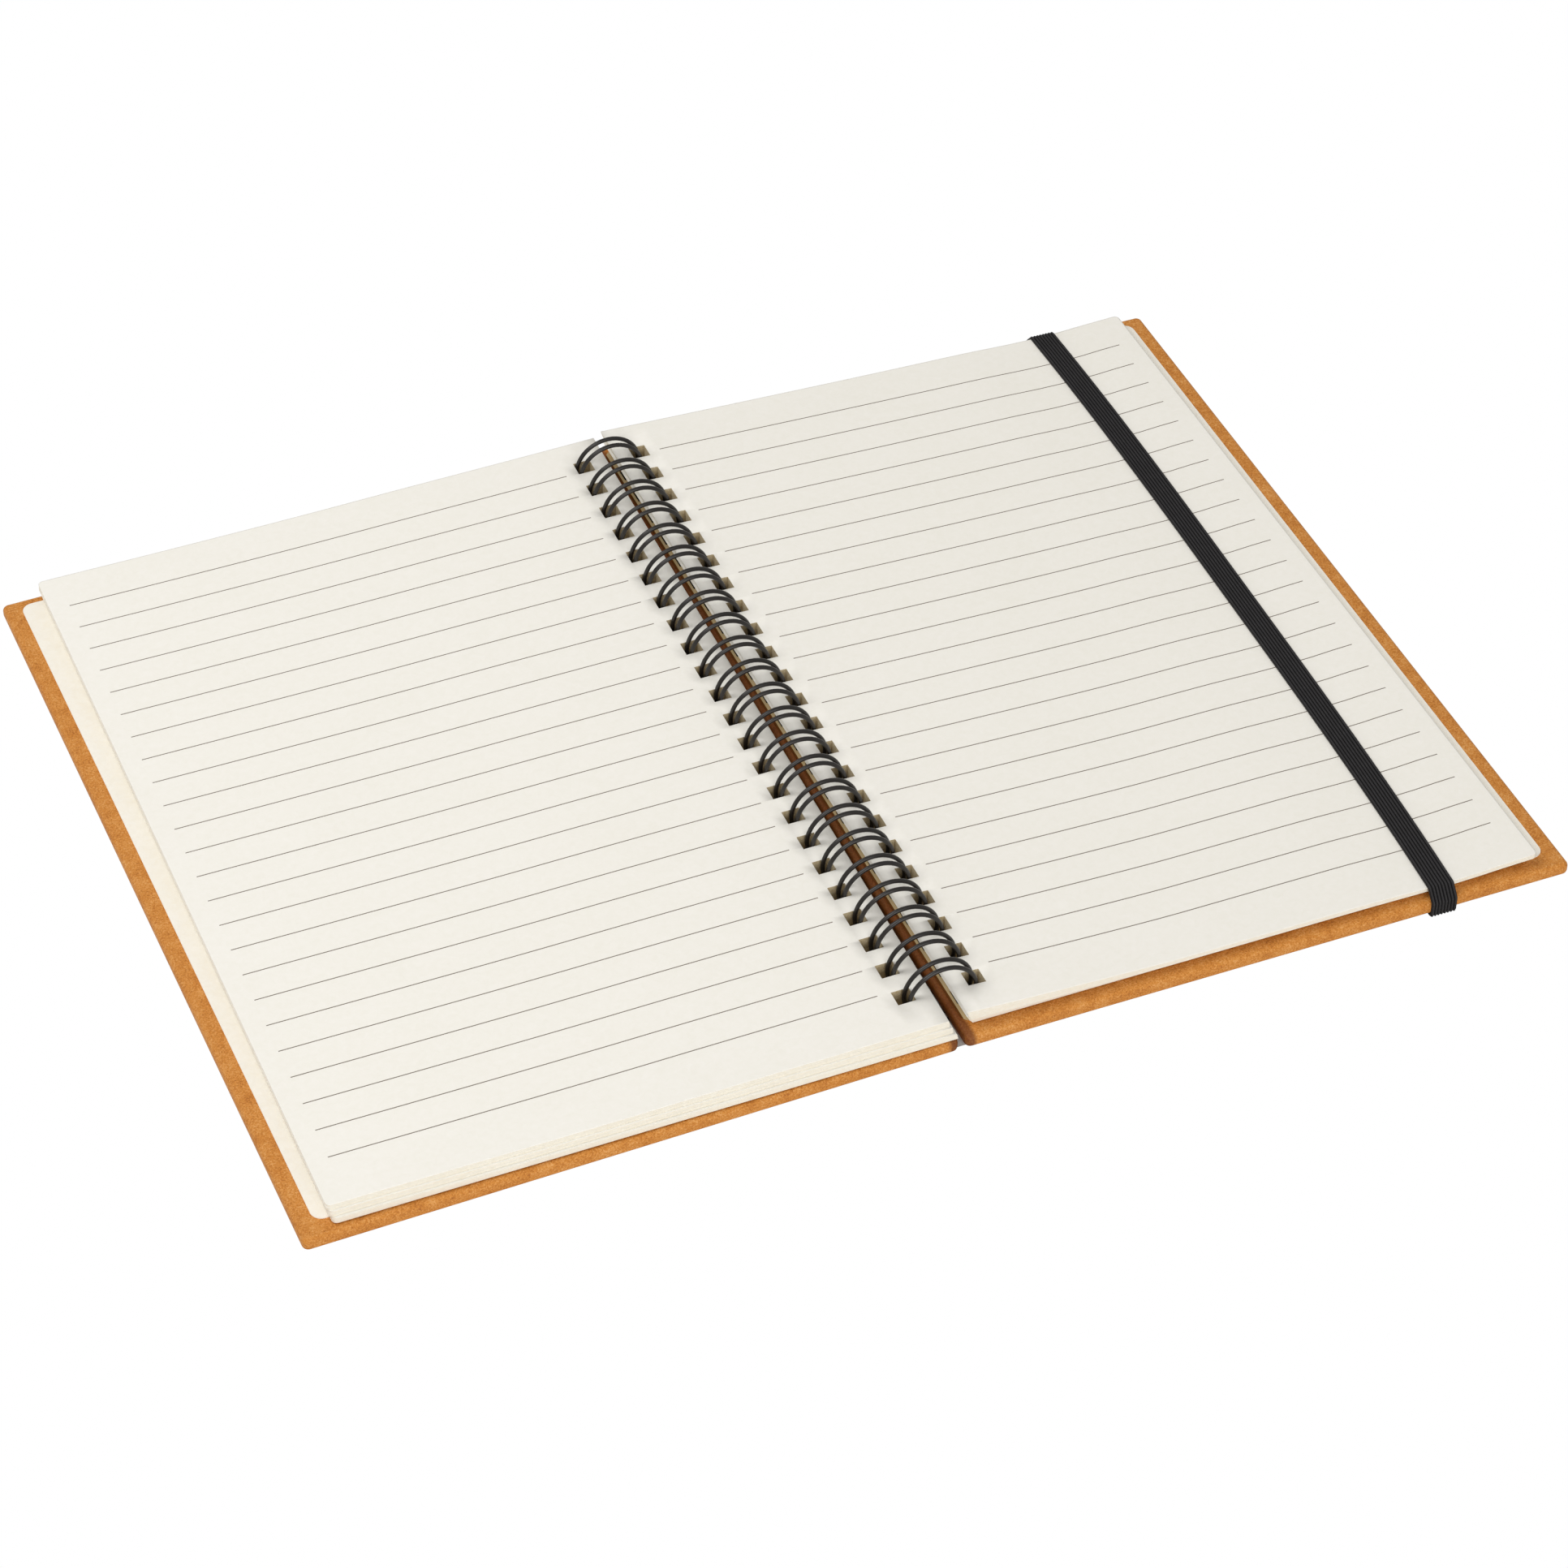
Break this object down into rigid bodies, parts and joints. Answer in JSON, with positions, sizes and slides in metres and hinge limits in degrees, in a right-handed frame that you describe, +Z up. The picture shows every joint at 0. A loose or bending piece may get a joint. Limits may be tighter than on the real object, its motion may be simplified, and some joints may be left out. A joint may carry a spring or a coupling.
{
  "type": "twin-loop wire-bound hardcover notebook",
  "caption": "Open hardcover notebook with leather-wrapped covers, ruled pages, twin-loop wire binding and an elastic band around the back cover and its pages.",
  "frame": {"origin": "middle of the open notebook's footprint, on the surface that it lies on", "axes": "+X from the binding across the right-hand page, +Y towards the head of the pages, +Z up out of the pages"},
  "size_m": [0.2858, 0.2116, 0.0162],
  "materials": {
    "cover_board": "matte grey board",
    "cover_leather": "tan bonded leather with a fine mottled grain, semi-matte",
    "pastedown_paper": "warm cream, matte",
    "page_paper": "off-white ruled paper, matte",
    "wire": "black coated steel wire, satin",
    "elastic": "black woven elastic with lengthwise ribs"
  },
  "bodies": {
    "back_cover": {"back_board": "cover_board", "back_cover_leather": "cover_leather", "back_pastedown": "pastedown_paper", "right_pages": "page_paper", "twin_loop_wire": "wire", "elastic_band": "elastic"},
    "front_cover": {"front_board": "cover_board", "front_cover_leather": "cover_leather", "front_pastedown": "pastedown_paper"},
    "left_leaves": {"left_pages": "page_paper"}
  },
  "joints": [
    {"name": "front_cover_hinge", "type": "hinge", "parent": "back_cover", "child": "front_cover", "pos_m": [0, 0, 0.0081], "axis": [0, 1, 0], "range_deg": [0, 180]},
    {"name": "left_leaves_hinge", "type": "hinge", "parent": "front_cover", "child": "left_leaves", "pos_m": [0, 0, 0.0081], "axis": [0, 1, 0], "range_deg": [0, 180]}
  ]
}
